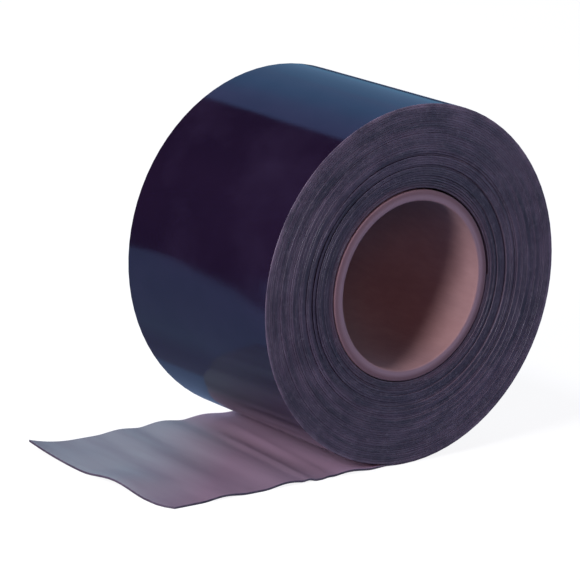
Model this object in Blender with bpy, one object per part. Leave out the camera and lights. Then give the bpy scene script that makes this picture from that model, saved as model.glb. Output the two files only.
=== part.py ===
# Roll of black roof repair tape on a paper core, with its free end laid out on the floor.
# Metres, +Z up. The roll's axis runs along Y, and the tail lies along -X.
# The origin is on the floor, under the centre of the object's box.

import math

import bmesh
import bpy
from mathutils import Matrix, Vector

# The tape
TAPE_WIDTH = 0.1016
TAPE_THICKNESS = 0.001
ROLL_RADIUS = 0.0815

# The paper core
CORE_BORE_RADIUS = 0.0381
CORE_WALL = 0.005
CORE_RECESS = 0.0003
CORE_CHAMFER = 0.0006
CORE_CLEARANCE = 0.0003

# The wound turns as they show on the ends: groups of turns between grooves
TURNS_IN_GROUP = 4
SIDEWAYS_WANDER = 0.0004
LEAST_LAND = 0.0001
GROOVE_DEPTH = 0.0006
GROOVE_WIDTH = 0.0008
GROUP_STEP_PHASE = 2.4

# The tail, measured from the line where it leaves the roll to its rear corner
TAIL_REACH = 0.1315
TAIL_END_SKEW = 0.0035
CORNER_TRIM = 0.0035
CORNER_TRIM_SHARE = 0.10
TUCK_RISE = 0.0004
TUCK_START = 0.002
TUCK_LENGTH = 0.010

# The tail's waves: where each crest meets the front edge and the rear edge, its height and half-width
TAIL_WAVES = (
    {"front": 0.030, "rear": 0.036, "height": 0.0014, "half_width": 0.014},
    {"front": 0.064, "rear": 0.060, "height": 0.0018, "half_width": 0.013},
    {"front": 0.098, "rear": 0.083, "height": 0.0013, "half_width": 0.011},
)

# The cut end stands up in a low hump, and its rear corner curls
HUMP_HEIGHT = 0.0024
HUMP_SHARE = 0.38
HUMP_HALF_SHARE = 0.24
HUMP_LENGTH = 0.030
CURL_HEIGHT = 0.0036
CURL_LENGTH = 0.024
CURL_SHARE = 0.45

# Fineness of the round and wavy surfaces
SIDES = 64
TAIL_STEPS = 44
TAIL_LANES = 10

CORE_RADIUS = CORE_BORE_RADIUS + CORE_WALL
TAPE_BORE_RADIUS = CORE_RADIUS + CORE_CLEARANCE
# One flat of the many-sided roll lies on the floor, and one faces away from the tail
FLAT_RADIUS = ROLL_RADIUS * math.cos(math.pi / SIDES)
AXIS_HEIGHT = FLAT_RADIUS
# The box runs from the tail's rear corner to the roll's far side
AXIS_X = (TAIL_REACH - FLAT_RADIUS) / 2
AXIS = Vector((AXIS_X, 0.0, AXIS_HEIGHT))

TAPE_COLOUR = (0.018, 0.012, 0.024, 1.0)
CORE_COLOUR = (0.30, 0.17, 0.15, 1.0)


def clear_scene():
    for obj in list(bpy.data.objects):
        bpy.data.objects.remove(obj)


def principled(name, colour, roughness):
    material = bpy.data.materials.new(name)
    material.use_nodes = True
    shader = material.node_tree.nodes["Principled BSDF"]
    shader.inputs["Base Color"].default_value = colour
    shader.inputs["Roughness"].default_value = roughness
    shader.inputs["Metallic"].default_value = 0.0
    return material


def smooth_step(value):
    share = min(max(value, 0.0), 1.0)
    return share * share * (3.0 - 2.0 * share)


def bump(distance, half_width):
    """A smooth crest, 1 at its middle and 0 from half_width away."""
    if abs(distance) >= half_width:
        return 0.0
    return 0.5 + 0.5 * math.cos(math.pi * distance / half_width)


def add_object(name, mesh, material):
    obj = bpy.data.objects.new(name, mesh)
    bpy.context.scene.collection.objects.link(obj)
    mesh.materials.append(material)
    return obj


def spin_profile(name, profile):
    """A closed ring turned about the roll's axis from (radius, y) points."""
    half_side = math.pi / SIDES
    start = Matrix.Rotation(half_side, 3, "Y") @ Vector((0.0, 0.0, -1.0))
    bm = bmesh.new()
    verts = [bm.verts.new(start * radius + Vector((0.0, y, 0.0))) for radius, y in profile]
    edges = [bm.edges.new((a, b)) for a, b in zip(verts, verts[1:] + verts[:1])]
    bmesh.ops.spin(
        bm,
        geom=verts + edges,
        cent=(0.0, 0.0, 0.0),
        axis=(0.0, 1.0, 0.0),
        angle=2.0 * math.pi,
        steps=SIDES,
        use_merge=True,
    )
    bmesh.ops.recalc_face_normals(bm, faces=bm.faces)
    bmesh.ops.translate(bm, verts=bm.verts, vec=AXIS)
    mesh = bpy.data.meshes.new(name)
    bm.to_mesh(mesh)
    bm.free()
    mesh.shade_smooth()
    mesh.set_sharp_from_angle(angle=math.radians(30.0))
    return mesh


def core_profile():
    """The paper tube's section: a plain wall with its four edges eased."""
    end = TAPE_WIDTH / 2 - CORE_RECESS
    inner, outer, ease = CORE_BORE_RADIUS, CORE_RADIUS, CORE_CHAMFER
    return [
        (inner + ease, -end),
        (outer - ease, -end),
        (outer, -end + ease),
        (outer, end - ease),
        (outer - ease, end),
        (inner + ease, end),
        (inner, end - ease),
        (inner, -end + ease),
    ]


def end_rings(phase):
    """(radius, height) points across one end, from the bore out: lands with a groove between each two."""
    build_up = ROLL_RADIUS - TAPE_BORE_RADIUS
    count = max(2, round(build_up / (TURNS_IN_GROUP * TAPE_THICKNESS)))
    pitch = build_up / count
    half_groove = GROOVE_WIDTH / 2
    points = []
    for ring in range(count):
        inner = TAPE_BORE_RADIUS + ring * pitch
        outer = inner + pitch
        stagger = 0.5 + 0.5 * math.sin(GROUP_STEP_PHASE * ring + phase)
        # The outermost land is the proudest, so the roll can stand on it
        wander = 1.0 if ring == count - 1 else 0.8 * stagger
        height = TAPE_WIDTH / 2 + LEAST_LAND + wander * (SIDEWAYS_WANDER - LEAST_LAND)
        if ring > 0:
            points.append((inner, TAPE_WIDTH / 2 - GROOVE_DEPTH))
            inner += half_groove
        if ring < count - 1:
            outer -= half_groove
        points.append((inner, height))
        points.append((outer, height))
    return points


def winding_profile():
    """The wound tape's section, with the turns showing on both ends."""
    front = [(radius, -height) for radius, height in end_rings(0.0)]
    rear = [(radius, height) for radius, height in reversed(end_rings(1.0))]
    return front + rear


def tail_reach(share):
    """How far the cut end lies from the roll, at a share of the width from the front edge."""
    reach = TAIL_REACH - TAIL_END_SKEW * (1.0 - share)
    trim = max(0.0, 1.0 - share / CORNER_TRIM_SHARE)
    return reach - CORNER_TRIM * trim * trim


def tail_height(run, share):
    """Height of the tail's underside at a distance from the roll and a share of the width."""
    height = TUCK_RISE * (1.0 - smooth_step((run - TUCK_START) / TUCK_LENGTH))
    for wave in TAIL_WAVES:
        crest = wave["front"] + (wave["rear"] - wave["front"]) * share
        height += wave["height"] * bump(run - crest, wave["half_width"])
    reach = tail_reach(share)
    end_share = smooth_step((run - reach + HUMP_LENGTH) / HUMP_LENGTH)
    height += HUMP_HEIGHT * end_share * bump(share - HUMP_SHARE, HUMP_HALF_SHARE)
    curl = max(0.0, (run - reach + CURL_LENGTH) / CURL_LENGTH)
    corner = max(0.0, (share - 1.0 + CURL_SHARE) / CURL_SHARE)
    height += CURL_HEIGHT * curl * curl * corner * corner
    return height


def tail_mesh():
    """The free end as a closed sheet, its hidden end tucked into the winding."""
    bm = bmesh.new()
    rows = []
    for step in range(TAIL_STEPS + 1):
        row = []
        for lane in range(TAIL_LANES + 1):
            share = lane / TAIL_LANES
            run = TUCK_START + (tail_reach(share) - TUCK_START) * step / TAIL_STEPS
            y = (share - 0.5) * TAPE_WIDTH
            row.append(bm.verts.new((AXIS_X - run, y, tail_height(run, share))))
        rows.append(row)
    for near, far in zip(rows, rows[1:]):
        for lane in range(TAIL_LANES):
            bm.faces.new((near[lane], far[lane], far[lane + 1], near[lane + 1]))
    underside = bm.faces[:]
    grown = bmesh.ops.extrude_face_region(bm, geom=underside)
    raised = [item for item in grown["geom"] if isinstance(item, bmesh.types.BMVert)]
    bmesh.ops.translate(bm, verts=raised, vec=(0.0, 0.0, TAPE_THICKNESS))
    bmesh.ops.recalc_face_normals(bm, faces=bm.faces)
    mesh = bpy.data.meshes.new("tail")
    bm.to_mesh(mesh)
    bm.free()
    mesh.shade_smooth()
    return mesh


def join_by_union(obj, other):
    """Fuses other into obj, and leaves other out of the model."""
    other.hide_render = True
    other.display_type = "WIRE"
    union = obj.modifiers.new("join " + other.name, "BOOLEAN")
    union.operation = "UNION"
    union.solver = "EXACT"
    union.object = other


def main():
    clear_scene()
    rubber = principled("black_rubber_tape", TAPE_COLOUR, 0.25)
    paper = principled("paper_core", CORE_COLOUR, 0.85)
    add_object("core_tube", spin_profile("core_tube", core_profile()), paper)
    tape = add_object("tape", spin_profile("tape", winding_profile()), rubber)
    tail = add_object("tail_guide", tail_mesh(), rubber)
    join_by_union(tape, tail)


main()
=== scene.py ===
import bmesh
import bpy
import math
from mathutils import Matrix, Vector, noise


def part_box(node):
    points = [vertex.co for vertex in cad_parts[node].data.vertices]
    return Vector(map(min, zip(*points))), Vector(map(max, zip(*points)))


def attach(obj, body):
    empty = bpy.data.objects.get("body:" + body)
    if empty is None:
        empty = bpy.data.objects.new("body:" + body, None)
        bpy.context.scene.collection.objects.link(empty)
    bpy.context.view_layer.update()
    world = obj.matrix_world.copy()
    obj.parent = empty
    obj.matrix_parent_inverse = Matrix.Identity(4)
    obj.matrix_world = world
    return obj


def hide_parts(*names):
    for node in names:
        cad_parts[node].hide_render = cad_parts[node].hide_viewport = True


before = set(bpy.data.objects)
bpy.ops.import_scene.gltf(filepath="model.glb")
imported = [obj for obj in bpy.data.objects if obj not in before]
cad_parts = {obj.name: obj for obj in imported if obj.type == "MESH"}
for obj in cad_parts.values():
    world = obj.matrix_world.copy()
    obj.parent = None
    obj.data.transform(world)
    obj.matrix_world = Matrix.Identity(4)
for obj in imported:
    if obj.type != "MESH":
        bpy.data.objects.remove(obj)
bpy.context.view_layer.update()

# places that everything else is set from, all in metres
coreLow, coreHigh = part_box("core_tube")
rollLow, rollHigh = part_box("tape")
axisX = (coreLow.x + coreHigh.x) / 2
axisZ = (coreLow.z + coreHigh.z) / 2
coreRadius = (coreHigh.z - coreLow.z) / 2
rollRadius = (rollHigh.z - rollLow.z) / 2
tailLength = axisX - rollLow.x  # the free end, from the line where it leaves the roll to its far corner
tiny = 1e-5
print("frame loaded: roll radius", round(rollRadius, 4), "core radius", round(coreRadius, 4))


def clearSelection():
    if bpy.context.mode != "OBJECT":
        bpy.ops.object.mode_set(mode="OBJECT")
    bpy.ops.object.select_all(action="DESELECT")


def startEditing(piece):
    clearSelection()
    piece.select_set(True)
    bpy.context.view_layer.objects.active = piece
    bpy.ops.object.mode_set(mode="EDIT")
    bpy.ops.mesh.select_all(action="DESELECT")


def selectEdges(piece, test):
    bpy.ops.mesh.select_mode(type="EDGE")
    bpy.ops.mesh.select_all(action="DESELECT")
    bm = bmesh.from_edit_mesh(piece.data)
    for edge in bm.edges:
        if test(edge.verts[0].co, edge.verts[1].co):
            edge.select_set(True)
    bmesh.update_edit_mesh(piece.data)


def selectFaces(piece, test):
    bpy.ops.mesh.select_mode(type="FACE")
    bpy.ops.mesh.select_all(action="DESELECT")
    bm = bmesh.from_edit_mesh(piece.data)
    for face in bm.faces:
        if test(face.calc_center_median(), face.normal):
            face.select_set(True)
    bmesh.update_edit_mesh(piece.data)


def shadeSmooth(piece):
    clearSelection()
    piece.select_set(True)
    bpy.ops.object.shade_smooth_by_angle(angle=math.radians(40.0))


def applyModifiers(piece):
    clearSelection()
    piece.select_set(True)
    bpy.context.view_layer.objects.active = piece
    for modifier in list(piece.modifiers):
        bpy.ops.object.modifier_apply(modifier=modifier.name)


def softStep(value):
    share = min(max(value, 0.0), 1.0)
    return share * share * (3.0 - 2.0 * share)


def softHill(distance, reach):
    # 1 in the middle and 0 from reach away
    if abs(distance) >= reach:
        return 0.0
    return 0.5 + 0.5 * math.cos(math.pi * distance / reach)


# the camera, at the photograph's place, looking a little down on the front end and the free end
cameraSet = {
    "place": (-0.9221, -1.0924, 0.4476),   # from the axis, the front end and the floor
    "azimuth": -38.02,
    "elevation": 14.52,
    "roll": 2.32,
    "lens": 209.3,
    "sensor": 36.0,
}


def makeCamera():
    data = bpy.data.cameras.new("photoCamera")
    data.lens = cameraSet["lens"]
    data.sensor_width = cameraSet["sensor"]
    data.clip_start = 0.05
    data.clip_end = 30.0
    camera = bpy.data.objects.new("photoCamera", data)
    bpy.context.scene.collection.objects.link(camera)
    x, y, z = cameraSet["place"]
    turned = (
        Matrix.Rotation(math.radians(cameraSet["azimuth"]), 4, "Z")
        @ Matrix.Rotation(math.radians(90.0 - cameraSet["elevation"]), 4, "X")
        @ Matrix.Rotation(math.radians(cameraSet["roll"]), 4, "Z")
    )
    camera.matrix_world = Matrix.Translation((axisX + x, rollLow.y + y, z)) @ turned
    bpy.context.scene.camera = camera


makeCamera()
print("camera placed")


# what every finish is made with
def setOrLink(tree, socket, value):
    # a value is another node's output, a colour or a number
    if isinstance(value, bpy.types.NodeSocket):
        tree.links.new(value, socket)
    elif isinstance(value, tuple):
        socket.default_value = (*value, 1.0)
    else:
        socket.default_value = value


def plainMaterial(name):
    material = bpy.data.materials.new(name)
    material.use_nodes = True
    return material, material.node_tree.nodes["Principled BSDF"]


def addPlace(tree):
    return tree.nodes.new("ShaderNodeTexCoord").outputs["Object"]


def newMaterial(name):
    material, shader = plainMaterial(name)
    tree = material.node_tree
    return material, tree, shader, addPlace(tree)


def addMapping(tree, vector, location=(0, 0, 0), scale=(1, 1, 1)):
    node = tree.nodes.new("ShaderNodeMapping")
    node.inputs["Location"].default_value = location
    node.inputs["Scale"].default_value = scale
    tree.links.new(vector, node.inputs["Vector"])
    return node.outputs["Vector"]


def addSplit(tree, vector):
    node = tree.nodes.new("ShaderNodeSeparateXYZ")
    tree.links.new(vector, node.inputs["Vector"])
    return node.outputs


def addNoise(tree, vector, scale, detail=3.0, roughness=0.5):
    node = tree.nodes.new("ShaderNodeTexNoise")
    node.inputs["Scale"].default_value = scale
    node.inputs["Detail"].default_value = detail
    node.inputs["Roughness"].default_value = roughness
    tree.links.new(vector, node.inputs["Vector"])
    return node.outputs["Fac"]


def addRange(tree, value, fromRange, toRange=(0.0, 1.0)):
    node = tree.nodes.new("ShaderNodeMapRange")
    node.inputs["From Min"].default_value, node.inputs["From Max"].default_value = fromRange
    node.inputs["To Min"].default_value, node.inputs["To Max"].default_value = toRange
    tree.links.new(value, node.inputs["Value"])
    return node.outputs["Result"]


def addTimes(tree, first, second):
    node = tree.nodes.new("ShaderNodeMath")
    node.operation = "MULTIPLY"
    tree.links.new(first, node.inputs[0])
    tree.links.new(second, node.inputs[1])
    return node.outputs["Value"]


def addMix(tree, factor, first, second):
    node = tree.nodes.new("ShaderNodeMix")
    node.data_type = "RGBA"
    # 0 is the factor, 6 and 7 are the two colours, and output 2 is the mixed colour
    for number, value in ((0, factor), (6, first), (7, second)):
        setOrLink(tree, node.inputs[number], value)
    return node.outputs[2]


def addBumps(tree, shader, bumps):
    # each is a height, its distance and its strength, and lies on the one before
    normal = None
    for height, distance, strength in bumps:
        node = tree.nodes.new("ShaderNodeBump")
        node.inputs["Distance"].default_value = distance
        node.inputs["Strength"].default_value = strength
        tree.links.new(height, node.inputs["Height"])
        if normal is not None:
            tree.links.new(normal, node.inputs["Normal"])
        normal = node.outputs["Normal"]
    tree.links.new(normal, shader.inputs["Normal"])


def addFromAxis(tree, place):
    # the way from the roll's axis to a place
    return addMapping(tree, place, location=(-axisX, 0.0, -axisZ), scale=(1.0, 0.0, 1.0))


def addLength(tree, vector):
    node = tree.nodes.new("ShaderNodeVectorMath")
    node.operation = "LENGTH"
    tree.links.new(vector, node.inputs[0])
    return node.outputs["Value"]


def addRound(tree, fromAxis, radius, along, across):
    # a place measured round the roll's axis, so that a noise read from it runs along the turns
    heading = tree.nodes.new("ShaderNodeVectorMath")
    heading.operation = "NORMALIZE"
    tree.links.new(fromAxis, heading.inputs[0])
    outward = tree.nodes.new("ShaderNodeCombineXYZ")
    tree.links.new(addRange(tree, radius, (0.0, 1.0), (0.0, across)), outward.inputs["Y"])
    turned = tree.nodes.new("ShaderNodeVectorMath")
    turned.operation = "MULTIPLY_ADD"
    turned.inputs[1].default_value = (along, along, along)
    tree.links.new(heading.outputs["Vector"], turned.inputs[0])
    tree.links.new(outward.outputs["Vector"], turned.inputs[2])
    return turned.outputs["Vector"]


def setSheen(shader, look):
    shader.inputs["Specular Tint"].default_value = (*look["sheenTint"], 1.0)
    shader.inputs["Specular IOR Level"].default_value = look["sheenLevel"]


# the strip of tape: wound round the core, then laid out as the free end
tapeSizes = {
    "thickness": 0.00097,      # a hair under the pitch, so turns don't touch
    "pitch": 0.001,            # room that each turn takes
    "width": 0.1016,
    "turns": 37,               # full turns after the first quarter
    "stepsPerTurn": 80,
    "halfTurnsAtOnce": 10,     # the strip is wound in lengths, which are then welded
    "edgeRounding": 0.00013,
    "tailSteps": 90,
    "lanes": 24,               # strips across the free end and the last turn
}
tapeWander = {
    "loose": 0.00020,          # how far a turn's edge strays sideways
    "looseRate": 2.3,          # strays to a turn
    "drift": 0.0004,           # slow drift over several turns
    "driftRate": 0.55,
    "calmFrom": 17.0,          # the outer turns were wound tighter and stray less
    "calmOver": 8.0,
    "calmShare": 0.5,
    "settle": 0.6,             # turns before the free end in which the straying fades
    "stepLength": 0.4,         # turns in which the strip moves over by a step
}
firstTurns = {                 # they hug the core, with a knee over the strip's start
    "hug": 0.85,               # how closely the very first turn lies on the core
    "turns": 5,
    "kneeFrom": 0.60,          # shares of a turn past the bottom
    "kneeTo": 0.75,
}
sideSteps = [                  # from these turns on, the strip lies further forward, or back with a minus
    {"turn": 1.6, "step": 0.00028},
    {"turn": 5.2, "step": 0.00020},
    {"turn": 10.6, "step": 0.00036},
    {"turn": 16.4, "step": 0.00020},
    {"turn": 24.3, "step": -0.00018},
    {"turn": 31.2, "step": 0.00012},
]
sunkenTurns = [                # stretches that stand back on the front end, their middle and reach in turns
    {"turn": 2.6, "depth": 0.00030, "reach": 0.8},
    {"turn": 5.2, "depth": 0.00030, "reach": 0.8},
    {"turn": 9.8, "depth": 0.00085, "reach": 1.2},
    {"turn": 3.34, "depth": 0.00060, "reach": 0.14},
    {"turn": 11.51, "depth": 0.00090, "reach": 0.24},
    {"turn": 12.48, "depth": 0.00060, "reach": 0.16},
    {"turn": 14.73, "depth": 0.00070, "reach": 0.22},
]
peel = {                       # the free end sticks to the roll, then comes down
    "from": 0.009,
    "to": 0.021,
    "closeness": 0.92,
}
# where each crest meets the front and the rear edge, from the line where the tail leaves the roll
tailWaves = [
    {"front": 0.030, "rear": 0.036, "lift": 0.0011, "reach": 0.014},
    {"front": 0.064, "rear": 0.060, "lift": 0.0014, "reach": 0.014},
    {"front": 0.098, "rear": 0.083, "lift": 0.0010, "reach": 0.013},
]
tailFolds = [                  # narrow crests that fade out between two shares of the width
    {"front": 0.0525, "rear": 0.0440, "lift": 0.0008, "reach": 0.0042, "fade": (0.55, 0.85)},
    {"front": 0.0420, "rear": 0.0330, "lift": 0.0004, "reach": 0.0040, "fade": (0.45, 0.90)},
]
tailEnd = {
    "skew": 0.0035,            # the front corner stands back by this much
    "cornerTrim": 0.0035,      # and is rounded off
    "cornerShare": 0.10,
    "humpLift": 0.0024,        # the cut edge stands up in a low hump
    "humpShare": 0.38,
    "humpHalfShare": 0.24,
    "humpLength": 0.030,
    "curlLift": 0.0036,        # and its rear corner curls up
    "curlLength": 0.024,
    "curlShare": 0.45,
}
firstOuter = rollRadius - tapeSizes["turns"] * tapeSizes["pitch"]  # outer face of the strip's start
firstInner = firstOuter - tapeSizes["thickness"]
firstMiddle = firstOuter - tapeSizes["thickness"] / 2


def addSection(x, z):
    # the strip's own section in a plane through the roll's axis: level beside the axis, upright below it
    size = tapeSizes
    level = abs(z - axisZ) < 0.5 * size["pitch"]
    clearSelection()
    bpy.ops.mesh.primitive_plane_add(size=1.0, location=(x, 0.0, z))
    section = bpy.context.active_object
    section.scale = (size["thickness"], size["width"], 1.0)
    if not level:
        section.rotation_euler = (0.0, math.radians(90.0), 0.0)
    bpy.ops.object.transform_apply(location=True, rotation=True, scale=True)
    startEditing(section)
    bpy.ops.mesh.select_all(action="SELECT")
    return section


def spinSection(angle, steps, centreZ):
    bpy.ops.mesh.spin(steps=steps, angle=angle, center=(axisX, 0.0, centreZ), axis=(0.0, -1.0, 0.0))


def halfCentre(half):
    # each half turn has its own centre, half a pitch higher or lower, so the strip grows by a pitch a turn
    return axisZ + (tapeSizes["pitch"] / 2 if half % 2 == 0 else 0.0)


def windLength(firstHalf, count):
    # an even half turn starts at the bottom
    size = tapeSizes
    middle = firstMiddle + firstHalf * size["pitch"] / 2
    section = addSection(axisX, halfCentre(firstHalf) - size["pitch"] / 2 - middle)
    for half in range(firstHalf, firstHalf + count):
        spinSection(math.pi, size["stepsPerTurn"] // 2, halfCentre(half))
    return section


def dropCaps(piece, keepFirst, keepLast, firstZ, lastZ):
    # the flat ends between two lengths go, so the weld leaves no wall inside the strip
    def isCap(centre, normal):
        if abs(normal.x) < 0.99 or abs(centre.x - axisX) > tiny:
            return False
        atFirst = abs(centre.z - firstZ) < 10 * tiny
        atLast = abs(centre.z - lastZ) < 10 * tiny
        return (atFirst and not keepFirst) or (atLast and not keepLast)
    selectFaces(piece, isCap)
    bpy.ops.mesh.delete(type="FACE")


def windStrip():
    size = tapeSizes
    # the hidden start, a quarter turn from the right side down
    start = addSection(axisX + firstMiddle, axisZ)
    spinSection(math.pi / 2, size["stepsPerTurn"] // 4, axisZ)
    dropCaps(start, True, False, axisZ, axisZ - firstMiddle)
    lengths = [start]
    halves = 2 * size["turns"]
    for firstHalf in range(0, halves, size["halfTurnsAtOnce"]):
        count = min(size["halfTurnsAtOnce"], halves - firstHalf)
        length = windLength(firstHalf, count)
        firstZ = axisZ - firstMiddle - firstHalf * size["pitch"] / 2
        lastZ = firstZ - count * size["pitch"] / 2
        dropCaps(length, False, firstHalf + count == halves, firstZ, lastZ)
        lengths.append(length)
    clearSelection()
    for length in lengths:
        length.select_set(True)
    bpy.context.view_layer.objects.active = start
    bpy.ops.object.join()
    start.name = "tapeStrip"
    startEditing(start)
    bpy.ops.mesh.select_all(action="SELECT")
    bpy.ops.mesh.remove_doubles(threshold=tiny)
    bpy.ops.mesh.normals_make_consistent(inside=False)
    return start


def isTail(place):
    return place.x < axisX - tiny and place.z < tapeSizes["thickness"] + tiny


def layOutTail(strip):
    # the last section is drawn out along the floor and cut into steps
    size = tapeSizes
    selectFaces(strip, lambda centre, normal: centre.z < size["pitch"] and normal.x < -0.99)
    bpy.ops.mesh.extrude_region_move(TRANSFORM_OT_translate={"value": (-tailLength, 0.0, 0.0)})
    selectEdges(strip, lambda a, b: abs(a.x - b.x) > 0.9 * tailLength)
    bpy.ops.mesh.subdivide(number_cuts=size["tailSteps"] - 1)
    # lanes across the free end and the whole last turn
    lastTurn = rollRadius - 0.9 * size["pitch"] - size["thickness"]

    def acrossOutside(a, b):
        if abs(a.y - b.y) < 0.9 * size["width"]:
            return False
        return isTail(a) or math.hypot(a.x - axisX, a.z - axisZ) > lastTurn
    selectEdges(strip, acrossOutside)
    bpy.ops.mesh.subdivide(number_cuts=size["lanes"] - 1)


def turnsAlong(place):
    # turns of strip between its start and this place, 0.25 at the bottom of the first turn
    pitch = tapeSizes["pitch"]
    right = place.x > axisX + 0.1 * tiny
    dx = place.x - axisX
    dz = place.z - axisZ - (0.0 if right else pitch / 2)
    base = firstInner + (0.0 if right else pitch / 2)
    # a little over, so that a place on a turn's inner face counts as on that turn
    layer = math.floor((math.hypot(dx, dz) - base) / pitch + 0.02)
    share = (math.atan2(-dz, dx) / (2.0 * math.pi)) % 1.0
    if right and share > 0.5:
        layer -= 1
    return layer + share


def straying(along):
    # how far the strip lies to the rear, at so many turns from its start
    wander = tapeWander
    sideways = wander["loose"] * noise.noise((along * wander["looseRate"], 0.0, 0.0))
    # the 7 keeps the slow drift apart from the quick strays
    sideways += wander["drift"] * noise.noise((along * wander["driftRate"], 7.0, 0.0))
    calm = softStep((along - wander["calmFrom"]) / wander["calmOver"])
    sideways *= 1.0 - (1.0 - wander["calmShare"]) * calm
    for sunken in sunkenTurns:
        sideways += sunken["depth"] * softHill(along - sunken["turn"], sunken["reach"])
    for side in sideSteps:
        sideways += side["step"] * (0.5 - softStep((along - side["turn"]) / wander["stepLength"]))
    beforeTail = tapeSizes["turns"] + 0.25 - along
    return sideways * softStep(beforeTail / wander["settle"])


def hugging(along):
    # how far the first turns are drawn in toward the core
    first = firstTurns
    turn = math.floor(along - 0.25)
    past = along - 0.25 - turn
    if turn < 0 or turn >= first["turns"]:
        return 0.0
    knee = 1.0 - softStep((past - first["kneeFrom"]) / (first["kneeTo"] - first["kneeFrom"]))
    return first["hug"] * (1.0 - turn / first["turns"]) * past * knee * tapeSizes["pitch"]


def loosenTurns(strip):
    for vert in strip.data.vertices:
        if isTail(vert.co):
            continue
        along = turnsAlong(vert.co)
        vert.co.y += straying(along)
        outward = Vector((vert.co.x - axisX, 0.0, vert.co.z - axisZ)).normalized()
        vert.co -= outward * hugging(along)


def tailReach(share):
    end = tailEnd
    trim = max(0.0, 1.0 - share / end["cornerShare"])
    return tailLength - end["skew"] * (1.0 - share) - end["cornerTrim"] * trim * trim


def peelLift(run):
    # follows the underside of the roll as far as the line where the tape lets go
    held = min(run, peel["from"])
    roundUnder = rollRadius - tapeSizes["pitch"]
    gap = roundUnder - math.sqrt(roundUnder * roundUnder - held * held)
    down = softStep((run - peel["from"]) / (peel["to"] - peel["from"]))
    return peel["closeness"] * gap * (1.0 - down)


def crestLift(crest, run, share):
    middle = crest["front"] + (crest["rear"] - crest["front"]) * share
    return crest["lift"] * softHill(run - middle, crest["reach"])


def tailLift(run, share):
    end = tailEnd
    lift = peelLift(run)
    for wave in tailWaves:
        lift += crestLift(wave, run, share)
    for fold in tailFolds:
        fadeFrom, fadeTo = fold["fade"]
        lift += crestLift(fold, run, share) * (1.0 - softStep((share - fadeFrom) / (fadeTo - fadeFrom)))
    reach = tailReach(share)
    nearEnd = softStep((run - reach + end["humpLength"]) / end["humpLength"])
    lift += end["humpLift"] * nearEnd * softHill(share - end["humpShare"], end["humpHalfShare"])
    curl = max(0.0, (run - reach + end["curlLength"]) / end["curlLength"])
    corner = max(0.0, (share - 1.0 + end["curlShare"]) / end["curlShare"])
    return lift + end["curlLift"] * curl * curl * corner * corner


def rippleTail(strip):
    # the free end gets its cut edge, its waves and its curled corner
    for vert in strip.data.vertices:
        if not isTail(vert.co):
            continue
        share = vert.co.y / tapeSizes["width"] + 0.5
        run = (axisX - vert.co.x) * tailReach(share) / tailLength
        vert.co.x = axisX - run
        vert.co.z += tailLift(run, share)


def roundEdges(strip, edgeSlot):
    rounding = strip.modifiers.new("edgeRounding", "BEVEL")
    rounding.width = tapeSizes["edgeRounding"]
    rounding.segments = 2
    rounding.limit_method = "ANGLE"
    rounding.angle_limit = math.radians(60.0)
    rounding.material = edgeSlot
    applyModifiers(strip)


def paintSides(strip, finishes):
    # the outer face, the sticky inner face and the slit edges, in this order
    for finish in finishes:
        strip.data.materials.append(finish)
    for face in strip.data.polygons:
        centre = face.center
        if isTail(centre):
            outward = Vector((0.0, 0.0, -1.0))
        else:
            outward = Vector((centre.x - axisX, 0.0, centre.z - axisZ)).normalized()
        facing = outward.dot(face.normal)
        face.material_index = 0 if facing > 0.9 else 1 if facing < -0.9 else 2


filmLook = {
    "rubberDark": (0.0048, 0.0024, 0.0085),
    "rubberLight": (0.0088, 0.0041, 0.0134),
    "haze": (0.0120, 0.0070, 0.0190),       # in faint clouds
    "roughness": (0.07, 0.14),
    "sheenTint": (0.28, 0.60, 1.0),
    "sheenLevel": 0.95,
}


def filmFinish():
    look = filmLook
    material, tree, shader, place = newMaterial("tapeFilm")
    smudge = addNoise(tree, addMapping(tree, place, scale=(1.0, 0.5, 1.0)), scale=28.0, detail=4.0)
    rubber = addMix(tree, smudge, look["rubberDark"], look["rubberLight"])
    clouds = addMapping(tree, place, scale=(1.0, 0.7, 0.8))
    haze = addNoise(tree, clouds, scale=26.0, detail=4.0, roughness=0.6)
    colour = addMix(tree, addRange(tree, haze, (0.45, 0.75), (0.0, 0.9)), rubber, look["haze"])
    tree.links.new(colour, shader.inputs["Base Color"])
    tree.links.new(addRange(tree, smudge, (0.3, 0.7), look["roughness"]), shader.inputs["Roughness"])
    setSheen(shader, look)
    slow = addNoise(tree, place, scale=22.0, detail=1.0)
    fine = addNoise(tree, place, scale=900.0, detail=2.0)
    addBumps(tree, shader, [(slow, 0.0006, 0.5), (fine, 0.00002, 0.5)])
    return material


adhesiveLook = {
    "mauveDark": (0.114, 0.075, 0.109),
    "mauveLight": (0.146, 0.100, 0.137),
    "dustAndSheenDark": (0.122, 0.130, 0.155),      # dust and a painted bluish sheen on the rear of the far end of the sticky side
    "dustAndSheenLight": (0.150, 0.156, 0.180),
    "dustAndSheenWay": (-1.0, 1.2, 0.0),            # the way in which they get stronger
    "dustAndSheenReach": (0.052, 0.115),            # between these places on that way
    "streak": (0.078, 0.053, 0.080),
    "paintedLightUnderRoll": (0.338, 0.222, 0.342),         # painted light: paler where it has just come off the roll, lifting the shade under the roll's overhang
    "paintedLightUnderRollReach": (0.052, 0.010),
    "inside": (0.060, 0.044, 0.066),        # painted shade: darker inside the winding, between the turns
    "shadeInsideReach": (0.0016, 0.0012),        # under the roll's outside
    "roughness": (0.36, 0.46),
    "sheenTint": (0.62, 0.78, 1.0),
    "sheenLevel": 0.12,
}


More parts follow.
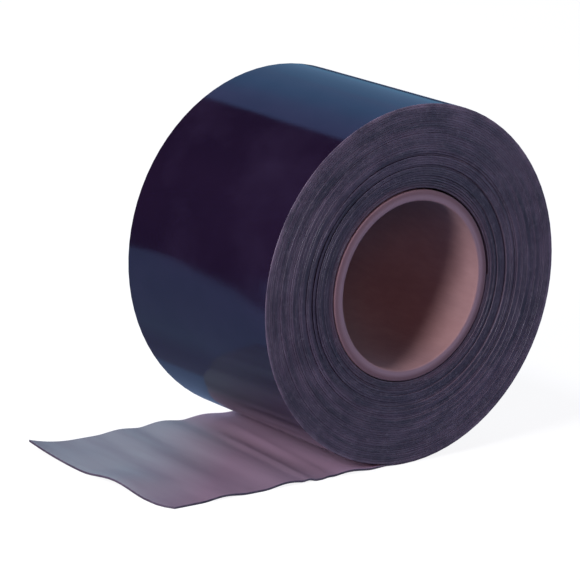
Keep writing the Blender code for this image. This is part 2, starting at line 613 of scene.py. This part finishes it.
def adhesiveFinish():
    look = adhesiveLook
    material, tree, shader, place = newMaterial("tapeAdhesive")
    streaks = addNoise(tree, addMapping(tree, place, scale=(1.0, 0.12, 1.0)), scale=120.0, detail=4.0)
    cloud = addNoise(tree, place, scale=24.0)
    mauve = addMix(tree, cloud, look["mauveDark"], look["mauveLight"])
    dusty = addMix(tree, cloud, look["dustAndSheenDark"], look["dustAndSheenLight"])
    slant = tree.nodes.new("ShaderNodeVectorMath")
    slant.operation = "DOT_PRODUCT"
    slant.inputs[1].default_value = look["dustAndSheenWay"]
    tree.links.new(place, slant.inputs[0])
    dustAndSheenRange = [reach - axisX for reach in look["dustAndSheenReach"]]
    # dust and painted sheen: bluish grey toward the rear of the far end
    base = addMix(tree, addRange(tree, slant.outputs["Value"], dustAndSheenRange), mauve, dusty)
    streaked = addMix(tree, addRange(tree, streaks, (0.35, 0.7), (0.0, 0.35)), base, look["streak"])
    # painted light on the free end beside the roll, where the roll shades it
    paintedLightUnderRollRange = [axisX - reach for reach in look["paintedLightUnderRollReach"]]
    paintedLightUnderRollMask = addRange(tree, addSplit(tree, place)["X"], paintedLightUnderRollRange)
    outside = addMix(tree, paintedLightUnderRollMask, streaked, look["paintedLightUnderRoll"])
    # painted shade on the sticky side inside the winding
    radius = addLength(tree, addFromAxis(tree, place))
    shadeInsideRange = [rollRadius - depth for depth in look["shadeInsideReach"]]
    wound = addRange(tree, radius, shadeInsideRange, (1.0, 0.0))
    tree.links.new(addMix(tree, wound, outside, look["inside"]), shader.inputs["Base Color"])
    tree.links.new(addRange(tree, cloud, (0.3, 0.7), look["roughness"]), shader.inputs["Roughness"])
    setSheen(shader, look)
    grain = addNoise(tree, place, scale=700.0)
    addBumps(tree, shader, [(streaks, 0.0002, 0.4), (grain, 0.00003, 0.5)])
    return material


cutEdgeLook = {
    "dark": (0.034, 0.021, 0.037),
    "light": (0.068, 0.046, 0.072),
    "inner": (0.018, 0.013, 0.024),         # painted shade: the inner turns are darker
    "innerShadeReach": (0.008, 0.014),           # over the core
    "coreReflection": (0.058, 0.028, 0.044),        # and the very first ones redder: a painted reflection of the paper core beside them
    "coreReflectionReach": (0.002, 0.005),
    "layer": (0.014, 0.011, 0.019),         # dark lines along the turns
    "dust": (0.095, 0.078, 0.104),
    "scuffAndHighlight": (0.15, 0.105, 0.15),           # the roll's outermost edge is scuffed paler, and painted lighter as a highlight where it catches the light
    "scuffAndHighlightReach": (0.0024, 0.0007),         # under the roll's outside
    "rollReach": (0.0001, 0.0006),          # past it, so that the free end gets neither
    "roughness": (0.42, 0.62),
    "sheenTint": (0.75, 0.85, 1.0),
    "sheenLevel": 0.5,
}


def cutEdgeFinish():
    look = cutEdgeLook
    material, tree, shader, place = newMaterial("tapeCutEdge")
    fromAxis = addFromAxis(tree, place)
    radius = addLength(tree, fromAxis)
    aroundTurns = addRound(tree, fromAxis, radius, along=2.2, across=300.0)
    layers = addNoise(tree, aroundTurns, scale=1.0, detail=4.0, roughness=0.6)
    mottle = addNoise(tree, place, scale=85.0, detail=4.0, roughness=0.6)
    speck = addNoise(tree, place, scale=520.0)
    base = addMix(tree, addRange(tree, mottle, (0.3, 0.7)), look["dark"], look["light"])
    innerShadeRange = [coreRadius + reach for reach in look["innerShadeReach"]]
    # painted shade on the inner turns, toward the core
    shaded = addMix(tree, addRange(tree, radius, innerShadeRange, (0.45, 0.0)), base, look["inner"])
    # painted reflection of the core's colour on the first turns
    coreReflectionRange = [coreRadius + reach for reach in look["coreReflectionReach"]]
    shaded = addMix(tree, addRange(tree, radius, coreReflectionRange, (0.6, 0.0)), shaded, look["coreReflection"])
    layered = addMix(tree, addRange(tree, layers, (0.42, 0.70), (0.0, 0.8)), shaded, look["layer"])
    dusty = addMix(tree, addRange(tree, speck, (0.50, 0.78), (0.0, 0.45)), layered, look["dust"])
    # scuffing and a painted highlight along the roll's outer rim
    scuffAndHighlightRange = [rollRadius - depth for depth in look["scuffAndHighlightReach"]]
    scuffAndHighlight = addRange(tree, radius, scuffAndHighlightRange, (0.0, 0.75))
    rollRange = [rollRadius + past for past in look["rollReach"]]
    onRoll = addRange(tree, radius, rollRange, (1.0, 0.0))
    patchy = addRange(tree, mottle, (0.35, 0.65), (0.2, 1.0))
    scuffAndHighlightPatches = addTimes(tree, addTimes(tree, scuffAndHighlight, onRoll), patchy)
    tree.links.new(addMix(tree, scuffAndHighlightPatches, dusty, look["scuffAndHighlight"]), shader.inputs["Base Color"])
    tree.links.new(addRange(tree, speck, (0.3, 0.7), look["roughness"]), shader.inputs["Roughness"])
    setSheen(shader, look)
    addBumps(tree, shader, [(layers, 0.0006, 0.7), (speck, 0.00015, 0.6)])
    return material


def makeTape():
    strip = windStrip()
    layOutTail(strip)
    shadeSmooth(strip)
    loosenTurns(strip)
    paintSides(strip, (filmFinish(), adhesiveFinish(), cutEdgeFinish()))
    rippleTail(strip)
    roundEdges(strip, edgeSlot=2)
    return strip


tapeStrip = makeTape()
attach(tapeStrip, "root")
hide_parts("tape")
print("tape wound:", len(tapeStrip.data.polygons), "faces")


# the paper core: a wound tube with soft lips
coreSizes = {
    "wall": 0.005,
    "length": coreHigh.y - coreLow.y,
    "lip": 0.0007,
    "steps": 128,
    "rows": 12,                # along the wall
}
coreLook = {
    "paperDark": (0.150, 0.078, 0.086),
    "paperLight": (0.190, 0.100, 0.106),
    "worn": (0.225, 0.128, 0.135),          # along the fibres
    "end": (0.165, 0.104, 0.134),           # the ends are greyer than the bore
    "endReach": (0.0001, 0.0008),           # over the bore
    "outerPliesShade": (0.092, 0.044, 0.058),    # painted shade: their outer plies are darker, where the end's lip turns from the light
    "outerShadeReach": (0.0030, 0.0016),         # under the tube's outside
    "ply": (0.120, 0.065, 0.078),
    "roughness": 0.8,
}


def makeCore():
    size = coreSizes
    clearSelection()
    middle = coreRadius - size["wall"] / 2
    bpy.ops.mesh.primitive_plane_add(size=1.0, location=(axisX + middle, 0.0, axisZ))
    tube = bpy.context.active_object
    tube.name = "coreTube"
    tube.scale = (size["wall"], size["length"], 1.0)
    bpy.ops.object.transform_apply(location=True, rotation=True, scale=True)
    startEditing(tube)
    bpy.ops.mesh.select_all(action="SELECT")
    bpy.ops.mesh.bevel(offset=size["lip"], segments=3, affect="VERTICES")
    selectEdges(tube, lambda a, b: abs(a.y - b.y) > 0.9 * size["length"])
    bpy.ops.mesh.subdivide(number_cuts=size["rows"] - 1)
    bpy.ops.mesh.select_mode(type="VERT")
    bpy.ops.mesh.select_all(action="SELECT")
    spinSection(2.0 * math.pi, size["steps"], axisZ)
    bpy.ops.mesh.select_all(action="SELECT")
    bpy.ops.mesh.remove_doubles(threshold=tiny)
    # the section that the turning began with is left inside the wall
    selectFaces(tube, lambda centre, normal: abs(centre.z - axisZ) < 0.1 * tiny and abs(normal.z) > 0.99)
    bpy.ops.mesh.delete(type="FACE")
    bpy.ops.mesh.select_all(action="SELECT")
    bpy.ops.mesh.normals_make_consistent(inside=False)
    shadeSmooth(tube)
    return tube


def paperFinish():
    look = coreLook
    material, tree, shader, place = newMaterial("corePaper")
    along = addMapping(tree, place, scale=(1.0, 0.35, 1.0))
    fibre = addNoise(tree, along, scale=260.0, detail=5.0, roughness=0.6)
    cloud = addNoise(tree, place, scale=30.0)
    base = addMix(tree, cloud, look["paperDark"], look["paperLight"])
    worn = addMix(tree, addRange(tree, fibre, (0.4, 0.7), (0.0, 0.4)), base, look["worn"])
    fromAxis = addFromAxis(tree, place)
    radius = addLength(tree, fromAxis)
    aroundTube = addRound(tree, fromAxis, radius, along=1.5, across=1400.0)
    plies = addNoise(tree, aroundTube, scale=1.0, detail=2.0)
    endRange = [coreRadius - coreSizes["wall"] + reach for reach in look["endReach"]]
    end = addMix(tree, addRange(tree, radius, endRange), worn, look["end"])
    # painted shade on the outer plies of the tube's ends
    outerShadeRange = [coreRadius - depth for depth in look["outerShadeReach"]]
    shaded = addMix(tree, addRange(tree, radius, outerShadeRange, (0.0, 0.85)), end, look["outerPliesShade"])
    colour = addMix(tree, addRange(tree, plies, (0.45, 0.75), (0.0, 0.5)), shaded, look["ply"])
    tree.links.new(colour, shader.inputs["Base Color"])
    shader.inputs["Roughness"].default_value = look["roughness"]
    addBumps(tree, shader, [(fibre, 0.00012, 0.5)])
    return material


coreTube = makeCore()
coreTube.data.materials.append(paperFinish())
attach(coreTube, "root")
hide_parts("core_tube")
print("core made:", len(coreTube.data.polygons), "faces")


# the floor: a pale one that the camera sees, and under it one that the light and the gloss see
floor = {
    "size": 12.0,
    "seenDepth": 0.00005,
    "bounceDepth": 0.0005,
    "colour": (0.12, 0.12, 0.12),
    "glow": (0.89, 0.89, 0.90),             # keeps it pale behind the roll
    "bounce": (0.14, 0.215, 0.33),          # the light that it throws back
    "mirrored": (0.110, 0.140, 0.190),      # as the gloss sees it
    "mirroredRollShade": (0.083, 0.090, 0.138),  # painted shade of the roll: darker by it, where the film mirrors it at a flat angle
    "rollShadeReach": (-0.074, -0.052),         # between these places along X
    "mirroredFoot": (0.103, 0.142, 0.225),  # but paler again right at the roll's foot
    "footReach": (-0.036, -0.032),
    "behindReach": (0.0, 0.03),             # both are only behind this along Y
}
# black flags on the floor, back left, that only the gloss sees
flags = [
    {"near": (-0.18, 0.099), "far": (-0.475, 0.57), "height": 1.4},
    {"near": (-0.33, 0.43), "far": (-0.475, 0.57), "height": 1.4},
]
backdrop = {                                # white to the camera, and these to the gloss
    "sky": (0.135, 0.315, 0.531),           # high up
    "skyPatch": (0.220, 0.262, 0.462),      # in redder patches there
    "skyLow": (0.135, 0.290, 0.47),         # near the horizon
    "highFrom": 0.45,                       # how steeply up that is
    "dark": (0.004, 0.003, 0.006),          # the unlit side, back left
    "edge": 0.125,                          # x over y where it ends
    "edgeBlur": 0.015,
    "patchScale": 3.2,
    "fill": (0.11, 0.105, 0.13),            # what lights the roll from all around
}
lights = {
    "key": {"toward": (-0.87, -0.235, 0.42), "distance": 1.5, "size": 0.40, "power": 30.0},
    "side": {"toward": (0.72, -0.66, 0.40), "distance": 2.0, "size": 1.4, "power": 15.5,
             "colour": (0.68, 0.82, 1.0)},
    "front": {"toward": (-0.55, -0.80, 0.30), "distance": 1.6, "size": 0.7, "power": 7.2,
              "colour": (1.0, 0.60, 0.58), "gloss": False},
    "back": {"toward": (0.35, 0.85, 0.55), "distance": 2.0, "size": 1.4, "power": 16.0,
             "colour": (0.80, 0.88, 1.0), "gloss": False},
    # from above, so that the free end's waves aren't lit from one side only
    "top": {"toward": (-0.50, 0.03, 0.85), "distance": 1.6, "size": 0.4, "power": 21.0,
            "colour": (0.86, 0.92, 1.0), "gloss": False},
}


def matteMaterial(name, colour, roughness=0.9):
    material, shader = plainMaterial(name)
    shader.inputs["Base Color"].default_value = (*colour, 1.0)
    shader.inputs["Roughness"].default_value = roughness
    shader.inputs["Specular IOR Level"].default_value = 0.0
    return material, shader


def addCard(name, material, visible):
    # a stage card that only the named rays see
    card = bpy.context.active_object
    card.name = name
    card.data.materials.append(material)
    card.visible_camera = "camera" in visible
    card.visible_diffuse = "diffuse" in visible
    card.visible_glossy = "glossy" in visible
    card.visible_shadow = "shadow" in visible


def makeSeenFloor():
    clearSelection()
    bpy.ops.mesh.primitive_plane_add(size=floor["size"], location=(0.0, 0.0, -floor["seenDepth"]))
    material, shader = matteMaterial("paleFloor", floor["colour"])
    shader.inputs["Emission Color"].default_value = (*floor["glow"], 1.0)
    shader.inputs["Emission Strength"].default_value = 1.0
    addCard("paleFloor", material, ("camera",))


def makeBounceFloor():
    clearSelection()
    bpy.ops.mesh.primitive_plane_add(size=floor["size"], location=(0.0, 0.0, -floor["bounceDepth"]))
    material, shader = matteMaterial("bounceFloor", floor["bounce"])
    tree = material.node_tree
    split = addSplit(tree, addPlace(tree))
    behind = addRange(tree, split["Y"], floor["behindReach"])
    # painted shade of the roll on the floor, seen only in the gloss
    rollShade = addTimes(tree, addRange(tree, split["X"], floor["rollShadeReach"]), behind)
    atFoot = addTimes(tree, addRange(tree, split["X"], floor["footReach"]), behind)
    mirrored = addMix(tree, rollShade, floor["mirrored"], floor["mirroredRollShade"])
    mirrored = addMix(tree, atFoot, mirrored, floor["mirroredFoot"])
    rays = tree.nodes.new("ShaderNodeLightPath").outputs
    colour = addMix(tree, rays["Is Glossy Ray"], floor["bounce"], mirrored)
    tree.links.new(colour, shader.inputs["Base Color"])
    addCard("bounceFloor", material, ("diffuse", "glossy"))


def makeFlag(number, flag):
    near = Vector((*flag["near"], 0.0))
    far = Vector((*flag["far"], 0.0))
    along = far - near
    middle = (near + far) / 2 + Vector((0.0, 0.0, flag["height"] / 2))
    upright = (math.pi / 2, 0.0, math.atan2(along.y, along.x))
    clearSelection()
    bpy.ops.mesh.primitive_plane_add(size=1.0, location=middle, rotation=upright)
    bpy.context.active_object.scale = (along.length, flag["height"], 1.0)
    name = f"blackFlag{number}"
    material = matteMaterial(name, backdrop["dark"], roughness=1.0)[0]
    addCard(name, material, ("glossy",))


def makeBackdrop():
    world = bpy.data.worlds.new("studioWorld")
    bpy.context.scene.world = world
    world.use_nodes = True
    tree = world.node_tree
    direction = tree.nodes.new("ShaderNodeTexCoord").outputs["Generated"]
    split = addSplit(tree, direction)
    lean = tree.nodes.new("ShaderNodeMath")
    lean.operation = "MULTIPLY_ADD"
    lean.inputs[1].default_value = -backdrop["edge"]
    tree.links.new(split["Y"], lean.inputs[0])
    tree.links.new(split["X"], lean.inputs[2])
    lit = addRange(tree, lean.outputs["Value"], (-backdrop["edgeBlur"], backdrop["edgeBlur"]))
    height = addRange(tree, split["Z"], (0.0, backdrop["highFrom"]))
    patches = addRange(tree, addNoise(tree, direction, scale=backdrop["patchScale"]), (0.40, 0.62))
    high = addMix(tree, patches, backdrop["sky"], backdrop["skyPatch"])
    sky = addMix(tree, height, backdrop["skyLow"], high)
    mirrored = addMix(tree, lit, backdrop["dark"], sky)
    rays = tree.nodes.new("ShaderNodeLightPath").outputs
    seen = addMix(tree, rays["Is Glossy Ray"], backdrop["fill"], mirrored)
    seen = addMix(tree, rays["Is Camera Ray"], seen, (1.0, 1.0, 1.0))
    tree.links.new(seen, tree.nodes["Background"].inputs["Color"])


def addSoftLight(name, light):
    # toward is the way from the roll's middle, which the lamp shines on, to the lamp
    middle = Vector((axisX, 0.0, axisZ))
    toward = Vector(light["toward"]).normalized()
    data = bpy.data.lights.new(name, "AREA")
    data.shape = "DISK"
    data.size = light["size"]
    data.energy = light["power"]
    data.color = light.get("colour", (1.0, 1.0, 1.0))
    lamp = bpy.data.objects.new(name, data)
    lamp.visible_camera = False
    lamp.visible_glossy = light.get("gloss", True)
    bpy.context.scene.collection.objects.link(lamp)
    turned = toward.to_track_quat("Z", "Y").to_matrix().to_4x4()
    lamp.matrix_world = Matrix.Translation(middle + toward * light["distance"]) @ turned


makeSeenFloor()
makeBounceFloor()
for number, flag in enumerate(flags):
    makeFlag(number, flag)
makeBackdrop()
for name, light in lights.items():
    addSoftLight(name + "Light", light)
bpy.context.scene.view_settings.view_transform = "Standard"
print("studio lit")
